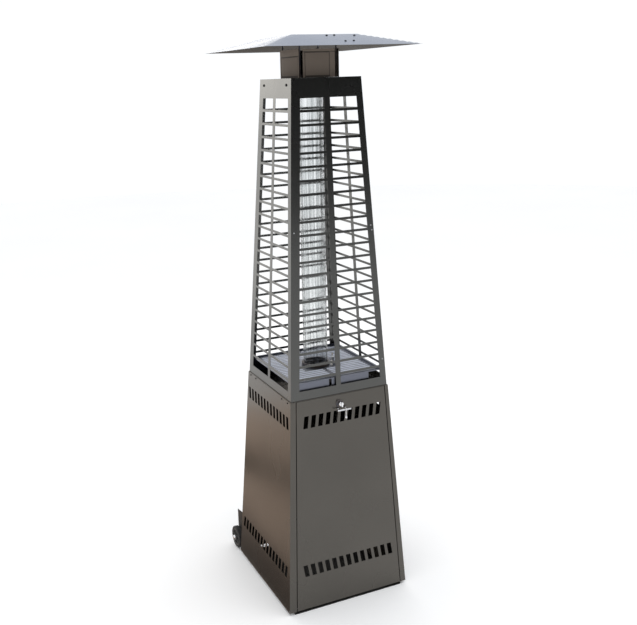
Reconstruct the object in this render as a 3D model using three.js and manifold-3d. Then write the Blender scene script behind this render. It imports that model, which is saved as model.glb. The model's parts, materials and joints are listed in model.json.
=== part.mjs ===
// Pyramid patio heater: a gas heater on a square tapered housing, with a glass flame tube inside a slotted cage
// and a flat reflector on four studs.
// Millimetres, +Z up. The origin is the middle of the base tray's underside.
// The door faces -Y and the wheels are at +Y.

import * as THREE from 'three';
import { mergeVertices } from 'three/addons/utils/BufferGeometryUtils.js';
import Module from 'manifold-3d';

const wasm = await Module();
wasm.setup();

// ---------------------------------------------------------------- driving dimensions

const SHEET = 1.5;
const CLEARANCE = 0.4;

// The two tapered towers, measured over the outside of their sheets.
const HOUSING = { bottomWidth: 550, topWidth: 437, bottomZ: 0, topZ: 900 };
const CAGE = { bottomWidth: 430, topWidth: 290, bottomZ: 900, topZ: 2118 };

const TRAY_HALF_WIDTH = 250;
const TRAY_FRONT = -273;
const TRAY_BACK = 250;
const TRAY_RIM = 11.7;
const TRAY_FRONT_RIM = 3.5;
const TRAY_FLOOR = 2;

const PANEL_BOTTOM = 12;
const PANEL_TOP = 897.4;
const RETURN_DEPTH = 14;
const RETURN_TOP = 880;

// The door opening is a trapezoid. The door sits a little to the right of the middle.
const OPENING_HALF_BOTTOM = 247;
const OPENING_HALF_TOP = 200;
const DOOR_SHIFT = 4;
const DOOR_GAP = 3.5;
const DOOR_BOTTOM = 13;
const DOOR_TOP = 896.5;
const DOOR_PIVOT_UP = 20.5;
const DOOR_PIVOT_DEPTH = 7.7;
const HINGE_PIN_RADIUS = 3;

const VENT = { width: 19.5, height: 50, pitch: 32.5, lean: 7.5, upperZ: 808, lowerZ: 180 };

const DECK_BOTTOM = 897.7;
const DECK_TOP = 899.7;

const LATCH_U = -5;
const LATCH_Z = 861;
const PULL_Z = 838;
const PULL_REACH = 22;
const PENDANT_U = 11;

const AXLE = { y: 330, z: 52, radius: 6, halfLength: 281 };
const WHEEL = { radius: 50, outerX: 276, innerX: 254 };
const CHEEK_X = 247;
const CHEEK_THICKNESS = 2;

const CONTROL_Z = 700;
const IGNITER_U = 70;

const BURNER_TRAY = { half: 195, ledgeHalf: 204, rimZ: 968, ledgeZ: 966.5, plateZ: 962, footZ: 900.2 };
const LOUVRE = { rowsEachWay: 9, pitch: 19, width: 7, outerEnd: 176, innerEnd: 10, ringClear: 84 };
const GLASS = { radius: 50, wall: 2.5, bottomZ: 965.7, topZ: 2206 };

const GUARD = { rows: 22, bar: 9.5, windowsBottom: 936, windowsTop: 2046 };
const GUARD_LEFT_STRIP = 37;
const GUARD_RIGHT_STRIP = 27;
const GUARD_MULLION = 21.5;
const GUARD_MULLION_U = -4;
const POST_LEG = 20;
const POST_THICKNESS = 2;

const NECK = { half: 84, topZ: 2222, frontTopZ: 2221, slitHalf: 67, flange: 12.5 };
const STUD = { offset: 76, radius: 3.5 };
const REFLECTOR = { rimHalf: 311, flatHalf: 134, rimZ: 2224, topZ: 2270, drop: 1.6 };

// ---------------------------------------------------------------- materials

function metal(color, roughness, metalness) {
  return new THREE.MeshStandardMaterial({ color, roughness, metalness });
}

const MATERIALS = {
  housing: () => metal(0x5d5b57, 0.38, 0.85),
  cage: () => metal(0x565653, 0.4, 0.85),
  tray: () => metal(0x2b2a29, 0.6, 0.6),
  burnerTray: () => metal(0x6b6e7a, 0.4, 0.85),
  neck: () => metal(0x615a53, 0.45, 0.8),
  reflector: () => metal(0xacb0b8, 0.3, 0.95),
  darkSteel: () => metal(0x2c2a28, 0.5, 0.8),
  chrome: () => metal(0xe6e6e6, 0.12, 1),
  brass: () => metal(0xb08d4a, 0.35, 0.95),
  zinc: () => metal(0xb9bbbd, 0.35, 0.9),
  blackPlastic: () => metal(0x1c1c1d, 0.55, 0),
  greyPlastic: () => metal(0x403f3d, 0.6, 0),
  rubber: () => metal(0x232221, 0.85, 0),
  ceramic: () => metal(0xe9e6de, 0.5, 0),
  glass: () => new THREE.MeshStandardMaterial({
    color: 0xe8f0f2, roughness: 0.03, metalness: 0, transparent: true, opacity: 0.35,
  }),
};

// ---------------------------------------------------------------- solids

function toSolid(geometry) {
  const plain = geometry.clone();
  plain.deleteAttribute('normal');
  plain.deleteAttribute('uv');
  const merged = mergeVertices(plain, 1e-4);
  return new wasm.Manifold(new wasm.Mesh({
    numProp: 3,
    vertProperties: new Float32Array(merged.attributes.position.array),
    triVerts: new Uint32Array(merged.index.array),
  }));
}

function toGeometry(solid) {
  const mesh = solid.getMesh();
  const geometry = new THREE.BufferGeometry();
  geometry.setAttribute('position', new THREE.BufferAttribute(new Float32Array(mesh.vertProperties), 3));
  geometry.setIndex(new THREE.BufferAttribute(new Uint32Array(mesh.triVerts), 1));
  geometry.computeVertexNormals();
  return geometry;
}

function join(...geometries) {
  return toGeometry(geometries.map(toSolid).reduce((a, b) => a.add(b)));
}

function cut(geometry, ...tools) {
  return toGeometry(tools.map(toSolid).reduce((a, b) => a.subtract(b), toSolid(geometry)));
}

function common(a, b) {
  return toGeometry(toSolid(a).intersect(toSolid(b)));
}

function box(x0, x1, y0, y1, z0, z1) {
  const geometry = new THREE.BoxGeometry(x1 - x0, y1 - y0, z1 - z0);
  return geometry.translate((x0 + x1) / 2, (y0 + y1) / 2, (z0 + z1) / 2);
}

// A four-sided frustum between two heights, given the half widths at its bottom and top.
function squareFrustum(bottomHalf, topHalf, z0, z1) {
  const geometry = new THREE.CylinderGeometry(topHalf * Math.SQRT2, bottomHalf * Math.SQRT2, z1 - z0, 4);
  geometry.rotateY(Math.PI / 4);
  geometry.rotateX(Math.PI / 2);
  return geometry.translate(0, 0, (z0 + z1) / 2);
}

function rod(radius, z0, z1, sides = 24) {
  const geometry = new THREE.CylinderGeometry(radius, radius, z1 - z0, sides);
  geometry.rotateX(Math.PI / 2);
  return geometry.translate(0, 0, (z0 + z1) / 2);
}

function rodAlongX(radius, x0, x1, y, z, sides = 24) {
  const geometry = new THREE.CylinderGeometry(radius, radius, x1 - x0, sides);
  geometry.rotateZ(-Math.PI / 2);
  return geometry.translate((x0 + x1) / 2, y, z);
}

// A solid of revolution about +Z from [radius, height] points, counterclockwise.
function turned(profile, sides) {
  const points = profile.map(([r, z]) => new THREE.Vector2(r, z));
  return new THREE.LatheGeometry(points, sides).rotateX(Math.PI / 2);
}

function ring(profile, sides) {
  return turned([...profile, profile[0]], sides);
}

function polygon(points) {
  return new THREE.Shape(points.map(([x, y]) => new THREE.Vector2(x, y)));
}

function slab(shape, w0, w1, curveSegments = 12) {
  const geometry = new THREE.ExtrudeGeometry(shape, { depth: w1 - w0, bevelEnabled: false, curveSegments });
  return geometry.translate(0, 0, w0);
}

// A slab whose outline is given in the YZ plane and which runs from x0 to x1.
function slabAlongX(points, x0, x1) {
  const geometry = slab(polygon(points), x0, x1);
  const turn = new THREE.Matrix4().makeBasis(
    new THREE.Vector3(0, 1, 0),
    new THREE.Vector3(0, 0, 1),
    new THREE.Vector3(1, 0, 0),
  );
  return geometry.applyMatrix4(turn);
}

// A slab whose outline is given in the XZ plane and which runs from y0 to y1.
function slabAlongY(points, y0, y1) {
  return slab(polygon(points), -y1, -y0).rotateX(Math.PI / 2);
}

function disc(u, v, radius) {
  return new THREE.Shape().absarc(u, v, radius, 0, 2 * Math.PI);
}

// A slab with holes right through it. Outline and holes are lists of points or shapes.
function pierced(outline, holes, w0, w1) {
  const tools = holes.map((hole) => (Array.isArray(hole) ? polygon(hole) : hole));
  return cut(slab(polygon(outline), w0, w1), slab(tools, w0 - 1, w1 + 1));
}

// ---------------------------------------------------------------- tapered towers and their faces

function taper(tower) {
  return (tower.bottomWidth - tower.topWidth) / 2 / (tower.topZ - tower.bottomZ);
}

function halfWidthAt(tower, z) {
  return tower.bottomWidth / 2 - taper(tower) * (z - tower.bottomZ);
}

function towerSolid(tower, z0, z1, inset) {
  return squareFrustum(halfWidthAt(tower, z0) - inset, halfWidthAt(tower, z1) - inset, z0, z1);
}

// A face has its own axes: u to the right as seen from outside, v up the slope, w straight out of the sheet.
function upTheFace(tower, z) {
  return (z - tower.bottomZ) / Math.cos(Math.atan(taper(tower)));
}

const FRONT = 0;
const RIGHT = Math.PI / 2;
const REAR = Math.PI;
const LEFT = -Math.PI / 2;

function faceGroup(tower, side, ...meshes) {
  const tilted = new THREE.Group();
  tilted.position.set(0, -tower.bottomWidth / 2, tower.bottomZ);
  tilted.rotation.x = Math.PI / 2 - Math.atan(taper(tower));
  tilted.add(...meshes);
  const turnedGroup = new THREE.Group();
  turnedGroup.rotation.z = side;
  turnedGroup.add(tilted);
  return turnedGroup;
}

function ontoFace(tower, side, geometry) {
  const group = faceGroup(tower, side, new THREE.Group());
  group.updateMatrixWorld(true);
  return geometry.applyMatrix4(group.children[0].matrixWorld);
}

function openingHalfAt(z) {
  const share = z / HOUSING.topZ;
  return OPENING_HALF_BOTTOM + (OPENING_HALF_TOP - OPENING_HALF_BOTTOM) * share;
}

// The outline of a door or panel that fills the opening, less a gap, in face axes.
function openingOutline(z0, z1, gap, shift) {
  const [v0, v1] = [upTheFace(HOUSING, z0), upTheFace(HOUSING, z1)];
  const [h0, h1] = [openingHalfAt(z0) - gap, openingHalfAt(z1) - gap];
  return [[shift - h0, v0], [shift + h0, v0], [shift + h1, v1], [shift - h1, v1]];
}

function ventOutlines(count, centreZ, lean, shift = 0) {
  const v = upTheFace(HOUSING, centreZ);
  const [a, h, d] = [VENT.width / 2, VENT.height / 2, lean / 2];
  const outlines = [];
  for (let i = 0; i < count; i += 1) {
    const u = shift + (i - (count - 1) / 2) * VENT.pitch;
    outlines.push([[u - a - d, v - h], [u + a - d, v - h], [u + a + d, v + h], [u - a + d, v + h]]);
  }
  return outlines;
}

function ventRows(upperCount, lowerCount, lean, shift = 0) {
  return [
    ...ventOutlines(upperCount, VENT.upperZ, lean, shift),
    ...ventOutlines(lowerCount, VENT.lowerZ, -lean, shift),
  ];
}

// ---------------------------------------------------------------- housing

function baseTray() {
  const block = box(-TRAY_HALF_WIDTH, TRAY_HALF_WIDTH, TRAY_FRONT, TRAY_BACK, 0, TRAY_RIM);
  const inner = TRAY_HALF_WIDTH - TRAY_FLOOR;
  const pocket = box(-inner, inner, TRAY_FRONT + TRAY_FLOOR, TRAY_BACK - TRAY_FLOOR, TRAY_FLOOR, 20);
  const lowFront = box(-inner, inner, TRAY_FRONT - 1, TRAY_FRONT + TRAY_FLOOR + 1, TRAY_FRONT_RIM, 20);
  return cut(block, pocket, lowFront);
}

// A prism through the whole front or rear wall, as wide as the opening plus a margin on each side.
function openingPrism(front, margin) {
  const [z0, z1] = [-10, HOUSING.topZ + 10];
  const shift = front ? DOOR_SHIFT : 0;
  const [h0, h1] = [openingHalfAt(z0) + margin, openingHalfAt(z1) + margin];
  const outline = [[shift - h0, z0], [shift + h0, z0], [shift + h1, z1], [shift - h1, z1]];
  return front ? slabAlongY(outline, -300, 0) : slabAlongY(outline, 0, 300);
}

// The line of the two hinge pins, drilled through the folded edges of the door and of the side panels.
function hingePinHoles() {
  const drill = rodAlongX(HINGE_PIN_RADIUS + CLEARANCE, -300, 300, 0, 0, 20);
  return drill.translate(0, DOOR_PIVOT_UP, -DOOR_PIVOT_DEPTH);
}

// A side panel wraps round both corners, and its front and rear edges are folded inwards beside the openings.
function sidePanel(hand) {
  const side = hand < 0 ? LEFT : RIGHT;
  const half = hand < 0 ? box(-300, 0, -300, 300, -10, 910) : box(0, 300, -300, 300, -10, 910);
  const openings = join(openingPrism(true, 0), openingPrism(false, 0));
  const folds = join(openingPrism(true, SHEET), openingPrism(false, SHEET));
  const skin = cut(
    towerSolid(HOUSING, PANEL_BOTTOM, PANEL_TOP, 0),
    towerSolid(HOUSING, PANEL_BOTTOM - 1, PANEL_TOP + 1, SHEET),
    openings,
  );
  const returns = common(folds, cut(
    towerSolid(HOUSING, PANEL_BOTTOM, RETURN_TOP, 0.2),
    towerSolid(HOUSING, PANEL_BOTTOM - 1, RETURN_TOP + 1, RETURN_DEPTH),
    openings,
  ));
  const flange = common(
    towerSolid(HOUSING, PANEL_BOTTOM, PANEL_BOTTOM + SHEET, 0.2),
    join(box(-275, -240, -250, 250, 0, 20), box(240, 275, -250, 250, 0, 20)),
  );
  const vents = ventRows(13, 15, -VENT.lean).map((points) => polygon(points));
  return cut(
    common(join(skin, returns, flange), half),
    ontoFace(HOUSING, side, slab(vents, -6, 6)),
    ontoFace(HOUSING, FRONT, hingePinHoles()),
  );
}

function rearPanel() {
  const outline = openingOutline(PANEL_BOTTOM + CLEARANCE, PANEL_TOP, CLEARANCE, 0);
  const v = upTheFace(HOUSING, CONTROL_Z);
  const holes = [...ventRows(11, 13, VENT.lean), disc(0, v, 5), disc(IGNITER_U, v, 9.4)];
  return pierced(outline, holes, -SHEET, 0);
}

function frontDoor() {
  const outline = openingOutline(DOOR_BOTTOM, DOOR_TOP, DOOR_GAP, DOOR_SHIFT);
  const lockHole = disc(LATCH_U, upTheFace(HOUSING, LATCH_Z), 8.6);
  const holes = [...ventRows(11, 13, VENT.lean, DOOR_SHIFT + 2), lockHole];
  const inner = openingOutline(DOOR_BOTTOM + SHEET, DOOR_TOP - SHEET, DOOR_GAP + SHEET, DOOR_SHIFT);
  return cut(
    pierced(outline, holes, -RETURN_DEPTH, 0),
    slab(polygon(inner), -RETURN_DEPTH - 1, -SHEET),
    hingePinHoles(),
  );
}

// A pin through the folded edge of a side panel into the folded edge of the door. Its head is on the outside.
function hingePin(hand) {
  const edge = openingHalfAt(DOOR_PIVOT_UP);
  const [tip, shoulder, end] = [edge - 12, edge + SHEET + CLEARANCE, edge + SHEET + CLEARANCE + 2];
  const pin = turned([
    [0, tip], [HINGE_PIN_RADIUS - 1, tip], [HINGE_PIN_RADIUS, tip + 1], [HINGE_PIN_RADIUS, shoulder],
    [5, shoulder], [5, end], [0, end],
  ], 20);
  return pin.rotateY(hand * Math.PI / 2).translate(DOOR_SHIFT, DOOR_PIVOT_UP, -DOOR_PIVOT_DEPTH);
}

// The deck closes the housing. A tab folded down at the front is what the lock's cam catches behind.
function topDeck() {
  const half = halfWidthAt(HOUSING, DECK_TOP) - 0.5;
  const plate = box(-half, half, -half, half, DECK_BOTTOM, DECK_TOP);
  const tab = box(-60, 60, -203, -201.5, 870, DECK_BOTTOM + 1);
  return cut(join(plate, tab), rod(30, 890, 910, 32));
}

// ---------------------------------------------------------------- door lock and pull

function latchBezel() {
  return ring([[8.7, CLEARANCE], [16, CLEARANCE], [16, 2.4], [14.5, 4.2], [10, 4.4], [8.7, 3.4]], 24);
}

function latchKnob() {
  const barrel = turned([
    [0, -24], [5, -24], [5, -6], [8, -6], [8, 9], [10.5, 11], [10.5, 16], [8, 19], [0, 20],
  ], 20);
  const grip = box(-3, 3, -10, 10, 15, 24);
  return join(barrel, grip);
}

function latchCam() {
  const shape = polygon([[-8, -7], [22, -7], [28, -4], [28, 4], [22, 7], [-8, 7]]);
  return slab(shape, -27.1, -24.4);
}

function pullBar() {
  const leftPost = rod(2.4, CLEARANCE, PULL_REACH, 16).translate(-16, 0, 0);
  const rightPost = rod(2.4, CLEARANCE, PULL_REACH, 16).translate(16, 0, 0);
  const bar = rodAlongX(3.2, -30, 30, 0, PULL_REACH, 16);
  return join(bar, leftPost, rightPost);
}

// The pendant hangs plumb from the bar: an eye, a stem and a small ball.
function pullDrop() {
  const eye = slab(disc(0, 0, 6), -2, 2);
  const stem = rodAlongX(1.5, 5, 30, 0, 0, 12).rotateZ(-Math.PI / 2);
  const ball = new THREE.SphereGeometry(5.5, 12, 8).translate(0, -33, 0);
  const bore = slab(disc(0, 0, 3.2 + CLEARANCE), -4, 4);
  return cut(join(eye, stem, ball), bore).rotateX(Math.PI / 2).rotateZ(Math.PI / 2);
}

// ---------------------------------------------------------------- wheels

// A cheek stands straight out of the rear wall, and its mounting flange lies along the sloping sheet.
function wheelBracket(hand) {
  const [low, outerTop, high, reach] = [30, 178, 193, 356];
  const wall = (z) => halfWidthAt(HOUSING, z) + 0.6;
  const cheek = slabAlongX([
    [wall(low), low], [AXLE.y + 10, low], [reach, low + 22], [reach, outerTop], [wall(high), high],
  ], CHEEK_X, CHEEK_X + CHEEK_THICKNESS);
  const flange = slabAlongX([
    [wall(low), low], [wall(low) + 2, low], [wall(high) + 2, high], [wall(high), high],
  ], CHEEK_X - 30, CHEEK_X + 1);
  const hole = rodAlongX(AXLE.radius + CLEARANCE, CHEEK_X - 10, CHEEK_X + 10, AXLE.y, AXLE.z);
  const bracket = cut(join(cheek, flange), hole);
  return hand < 0 ? mirrored(bracket) : bracket;
}

// The mirror image in the plane x = 0, with the triangles turned round so that they still face out.
function mirrored(geometry) {
  const solid = toSolid(geometry).mirror([1, 0, 0]);
  return toGeometry(solid);
}

function wheelHub() {
  const [inner, outer, middle] = [WHEEL.innerX, WHEEL.outerX, (WHEEL.innerX + WHEEL.outerX) / 2];
  const bore = AXLE.radius + CLEARANCE;
  return ring([
    [bore, inner - 1.4], [14, inner - 1.4], [14, middle - 3],
    [33, middle - 3], [33, inner + 1], [39.6, inner + 1],
    [39.6, outer - 1], [33, outer - 1], [33, middle + 3],
    [14, middle + 3], [14, outer + 3], [bore, outer + 3],
  ], 24);
}

function tyre() {
  const [inner, outer] = [WHEEL.innerX, WHEEL.outerX];
  const rim = 40;
  return ring([
    [rim, inner + 2], [rim + 4, inner], [WHEEL.radius - 3, inner + 0.5], [WHEEL.radius, inner + 4],
    [WHEEL.radius, outer - 4], [WHEEL.radius - 3, outer - 0.5], [rim + 4, outer], [rim, outer - 2],
  ], 24);
}

function axleCap() {
  const [open, tip] = [WHEEL.outerX + 3.6, 289];
  return turned([
    [0, AXLE.halfLength + 1], [AXLE.radius + CLEARANCE, AXLE.halfLength + 1], [AXLE.radius + CLEARANCE, open],
    [11, open], [11, open + 2], [9, tip - 2.5], [5, tip - 0.6], [0, tip],
  ], 18);
}

// ---------------------------------------------------------------- controls and gas path

function controlKnob() {
  const body = turned([
    [0, 12.6], [4.4, 12.6], [4.4, 4], [22, 4], [23, 6], [23, 9], [20.5, 21], [18.5, 23], [0, 23],
  ], 24);
  const grip = box(-4, 4, -19, 19, 20, 30);
  return join(body, grip);
}

function gasValve() {
  const block = box(-22, 22, -25, 25, -75, -30);
  const boss = rod(11, -31, -6, 24);
  return cut(join(block, boss), rod(4.4, -66, 0, 24));
}

function valveBracket() {
  const hat = polygon([
    [-58, -3.9], [-58, -2.4], [-43.5, -2.4], [-43.5, -15.5],
    [43.5, -15.5], [43.5, -2.4], [58, -2.4], [58, -3.9],
    [45, -3.9], [45, -17], [-45, -17], [-45, -3.9],
  ].reverse());
  return cut(slab(hat, -26, 26).rotateX(Math.PI / 2), rod(11.4, -20, -10, 24));
}

function igniterBody() {
  return turned([
    [0, -62], [6, -62], [9, -58], [9, CLEARANCE], [13, CLEARANCE], [13, 2.4], [12.2, 3.2], [6.4, 3.2],
    [6.4, -20], [0, -20],
  ], 18);
}

function igniterButton() {
  return turned([[0, -8], [6, -8], [6, 8], [5, 9.4], [0, 9.8]], 18);
}

// Hex nut and stepped hose nozzle, pointing down the face from the valve.
function gasInlet() {
  const nut = new THREE.CylinderGeometry(11, 11, 10, 6).rotateX(Math.PI / 2).translate(0, 0, 35);
  const nozzle = turned([
    [0, 0], [3.5, 0], [5.5, 4], [4.5, 8], [5.5, 12], [4.5, 16], [5.5, 20], [4.5, 24], [4.5, 31], [7, 31],
    [7, 42], [0, 42],
  ], 14);
  return join(nut, nozzle).rotateX(-Math.PI / 2).translate(0, -25.3 - 42, -52);
}

function burnerPipe() {
  const path = new THREE.CatmullRomCurve3([
    new THREE.Vector3(0, 180.7, 725.8),
    new THREE.Vector3(0, 180, 762),
    new THREE.Vector3(0, 150, 812),
    new THREE.Vector3(0, 70, 836),
    new THREE.Vector3(0, 12, 856),
    new THREE.Vector3(0, 0, 886),
    new THREE.Vector3(0, 0, 916),
  ]);
  return new THREE.ExtrudeGeometry(disc(0, 0, 6), { steps: 20, curveSegments: 5, extrudePath: path });
}

function tiltSwitch() {
  const plate = box(-24, 24, -9, 9, 25.5, 27);
  return join(plate, turned([[0, 0], [11, 0], [13, 3], [13, 26], [0, 26]], 24));
}

// ---------------------------------------------------------------- burner

// A louvred plate inside a low rim. A ledge runs round the rim and turns down into a front and a rear skirt.
function burnerTray() {
  const { half, ledgeHalf, rimZ, ledgeZ, plateZ, footZ } = BURNER_TRAY;
  const inner = half - SHEET;
  const hidden = half - SHEET / 2;
  const pan = cut(
    box(-half, half, -half, half, plateZ - SHEET, rimZ),
    box(-inner, inner, -inner, inner, plateZ, rimZ + 1),
  );
  const ledge = cut(
    box(-ledgeHalf, ledgeHalf, -ledgeHalf, ledgeHalf, ledgeZ - SHEET, ledgeZ),
    box(-hidden, hidden, -hidden, hidden, ledgeZ - 5, ledgeZ + 5),
  );
  const face = ledgeHalf - 0.4;
  const width = ledgeHalf - 2;
  const frontSkirt = box(-width, width, -face, SHEET - face, footZ, ledgeZ - SHEET / 2);
  const rearSkirt = box(-width, width, face - SHEET, face, footZ, ledgeZ - SHEET / 2);
  const sightSlot = box(-42, -30, -face - 5, -face + 5, 924, 963.5);
  const lightingWindow = box(137, 189, -face - 5, -face + 5, 925, 963.5);
  const throat = rod(47, plateZ - 5, plateZ + 5, 32);
  return cut(join(pan, ledge, frontSkirt, rearSkirt), sightSlot, lightingWindow, throat, ...louvres());
}

// Rows of slots parallel to the front, in a left and a right half, which stop short of the burner ring.
function louvres() {
  const { rowsEachWay, pitch, width, outerEnd, innerEnd, ringClear } = LOUVRE;
  const [low, high] = [BURNER_TRAY.plateZ - 4, BURNER_TRAY.plateZ + 4];
  const slots = [];
  for (let row = -rowsEachWay; row < rowsEachWay; row += 1) {
    const y = (row + 0.5) * pitch;
    const start = Math.abs(y) < ringClear - pitch / 2 ? ringClear : innerEnd;
    slots.push(box(start, outerEnd, y - width / 2, y + width / 2, low, high));
    slots.push(box(-outerEnd, -start, y - width / 2, y + width / 2, low, high));
  }
  return slots;
}

function burnerCup() {
  return ring([
    [22, 900.2], [72, 900.2], [72, 902.2], [44, 902.2], [44, 959.8], [42, 959.8], [42, 904.2], [22, 904.2],
  ], 24);
}

function burnerMesh() {
  return turned([
    [0, 953], [14, 952], [28, 949], [41.5, 942], [41.5, 944], [29, 951], [14, 954.2], [0, 955],
  ], 24);
}

function pilotBurner() {
  return turned([[0, 0], [6, 0], [6, 18], [7.5, 20], [7.5, 30], [4, 34], [0, 34]], 20);
}

function thermocouple() {
  return turned([[0, 0], [3.4, 0], [3.4, 6], [1.7, 8], [1.7, 38], [0, 40]], 16);
}

function ignitionElectrode() {
  return turned([[0, 0], [3.6, 0], [3.6, 22], [1.1, 23], [1.1, 36], [0, 36]], 16);
}

// ---------------------------------------------------------------- glass tube

function glassTube() {
  const { radius, wall, bottomZ, topZ } = GLASS;
  return ring([[radius - wall, bottomZ], [radius, bottomZ], [radius, topZ], [radius - wall, topZ]], 32);
}

function glassSeat() {
  const z = BURNER_TRAY.plateZ + 0.3;
  const bore = GLASS.radius + CLEARANCE;
  return ring([[47, z], [58, z], [58, z + 10], [56, z + 12], [bore, z + 12], [bore, z + 3], [47, z + 3]], 32);
}

function tubeCollar() {
  const bore = GLASS.radius + CLEARANCE;
  return ring([[bore, 2118.4], [64, 2118.4], [64, 2120], [52, 2120], [52, 2140], [bore, 2140]], 32);
}

// ---------------------------------------------------------------- cage

// One guard sheet: a border, one upright bar and rows of windows. Its side edges are mitred.
function guardSheet() {
  const { rows, bar, windowsBottom, windowsTop } = GUARD;
  const [z0, z1] = [CAGE.bottomZ + 0.3, CAGE.topZ - 0.3];
  const edge = (z) => halfWidthAt(CAGE, z) - 0.2;
  const outline = [
    [-edge(z0), upTheFace(CAGE, z0)], [edge(z0), upTheFace(CAGE, z0)],
    [edge(z1), upTheFace(CAGE, z1)], [-edge(z1), upTheFace(CAGE, z1)],
  ];
  const windows = [];
  const windowHeight = (windowsTop - windowsBottom - (rows - 1) * bar) / rows;
  for (let row = 0; row < rows; row += 1) {
    const low = windowsBottom + row * (windowHeight + bar);
    const high = low + windowHeight;
    const [v0, v1] = [upTheFace(CAGE, low), upTheFace(CAGE, high)];
    const mullion = [GUARD_MULLION_U - GUARD_MULLION / 2, GUARD_MULLION_U + GUARD_MULLION / 2];
    const left = (z) => -halfWidthAt(CAGE, z) + GUARD_LEFT_STRIP;
    const right = (z) => halfWidthAt(CAGE, z) - GUARD_RIGHT_STRIP;
    windows.push([[left(low), v0], [mullion[0], v0], [mullion[0], v1], [left(high), v1]]);
    windows.push([[mullion[1], v0], [right(low), v0], [right(high), v1], [mullion[1], v1]]);
  }
  return mitred(pierced(outline, windows, -SHEET, 0));
}

// Moves the inner edge of each side inwards by the sheet's thickness, so that two sheets meet at the corner.
function mitred(geometry) {
  const lean = Math.atan(taper(CAGE));
  const position = geometry.attributes.position;
  for (let i = 0; i < position.count; i += 1) {
    const [u, v, w] = [position.getX(i), position.getY(i), position.getZ(i)];
    const edge = halfWidthAt(CAGE, CAGE.bottomZ + v * Math.cos(lean)) - 0.2;
    if (w < -SHEET / 2 && Math.abs(u) > edge - 0.1) {
      position.setX(i, u - Math.sign(u) * SHEET * Math.cos(lean));
    }
  }
  return geometry;
}

// An angle section that follows the front left corner of the cage, just inside its sheets.
function cornerPost() {
  const [z0, z1] = [CAGE.bottomZ + 0.4, CAGE.topZ - 2.6];
  const corner = -(halfWidthAt(CAGE, z0) - SHEET - 0.6);
  const shape = polygon([
    [0, 0], [POST_LEG, 0], [POST_LEG, POST_THICKNESS], [POST_THICKNESS, POST_THICKNESS],
    [POST_THICKNESS, POST_LEG], [0, POST_LEG],
  ]);
  const lean = taper(CAGE);
  const shear = new THREE.Matrix4().set(1, 0, lean, 0, 0, 1, lean, 0, 0, 0, 1, 0, 0, 0, 0, 1);
  return slab(shape, 0, z1 - z0).applyMatrix4(shear).translate(corner, corner, z0);
}

function cageTopPlate() {
  const half = halfWidthAt(CAGE, CAGE.topZ) - SHEET - 0.6;
  return cut(box(-half, half, -half, half, CAGE.topZ - 2.2, CAGE.topZ - 0.2), rod(53, 2100, 2130, 32));
}

// ---------------------------------------------------------------- neck and reflector

// A plate on the front side, with a flange folded inwards at its foot.
// The narrow plates leave slits for the studs.
function neckPlate(halfLength, topZ) {
  const { half, flange } = NECK;
  const foot = CAGE.topZ + 0.2;
  const sheet = box(-halfLength, halfLength, -half, -half + SHEET, foot, topZ);
  const fold = box(-58, 58, -half + 0.5, -half + SHEET + flange, foot, foot + SHEET);
  return join(sheet, fold);
}

// A round stud between two hexagonal ends.
function reflectorStud() {
  const foot = CAGE.topZ + 0.4;
  const head = REFLECTOR.topZ - REFLECTOR.drop - 0.4;
  const hex = (z0, z1) => new THREE.CylinderGeometry(6, 6, z1 - z0, 6)
    .rotateX(Math.PI / 2)
    .translate(0, 0, (z0 + z1) / 2);
  return join(rod(STUD.radius, foot, head, 12), hex(foot + 2, foot + 8), hex(head - 7, head - 1));
}

function reflector() {
  const { rimHalf, flatHalf, rimZ, topZ, drop } = REFLECTOR;
  const run = (rimHalf - flatHalf) / (topZ - rimZ);
  const below = rimZ - 4;
  const underside = squareFrustum(rimHalf + 4 * run - drop * run, flatHalf, below, topZ - drop);
  return cut(squareFrustum(rimHalf, flatHalf, rimZ, topZ), underside);
}

// ---------------------------------------------------------------- assembly

function named(name, geometry, material, position = [0, 0, 0]) {
  const mesh = new THREE.Mesh(geometry, material());
  mesh.name = name;
  mesh.position.set(...position);
  return mesh;
}

function upright(side, mesh) {
  const group = new THREE.Group();
  group.rotation.z = side;
  group.add(mesh);
  return group;
}

const heater = new THREE.Group();

// Housing
heater.add(
  named('base_tray', baseTray(), MATERIALS.tray),
  named('side_panel_left', sidePanel(-1), MATERIALS.housing),
  named('side_panel_right', sidePanel(1), MATERIALS.housing),
  named('top_deck', topDeck(), MATERIALS.housing),
);

const latchV = upTheFace(HOUSING, LATCH_Z);
const pullV = upTheFace(HOUSING, PULL_Z);
heater.add(faceGroup(
  HOUSING,
  FRONT,
  named('front_door', frontDoor(), MATERIALS.housing),
  named('hinge_pin_left', hingePin(-1), MATERIALS.zinc),
  named('hinge_pin_right', hingePin(1), MATERIALS.zinc),
  named('latch_bezel', latchBezel(), MATERIALS.darkSteel, [LATCH_U, latchV, 0]),
  named('latch_knob', latchKnob(), MATERIALS.chrome, [LATCH_U, latchV, 0]),
  named('latch_cam', latchCam(), MATERIALS.zinc, [LATCH_U, latchV, 0]),
  named('pull_bar', pullBar(), MATERIALS.chrome, [DOOR_SHIFT, pullV, 0]),
));

// The pendant hangs on the bar's axis but stays plumb, so it is placed in the upright frame.
const lean = Math.atan(taper(HOUSING));
const pullAxisY = -HOUSING.bottomWidth / 2 + pullV * Math.sin(lean) - PULL_REACH * Math.cos(lean);
const pullAxisZ = pullV * Math.cos(lean) + PULL_REACH * Math.sin(lean);
heater.add(named('pull_drop', pullDrop(), MATERIALS.chrome, [PENDANT_U, pullAxisY, pullAxisZ]));

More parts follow.
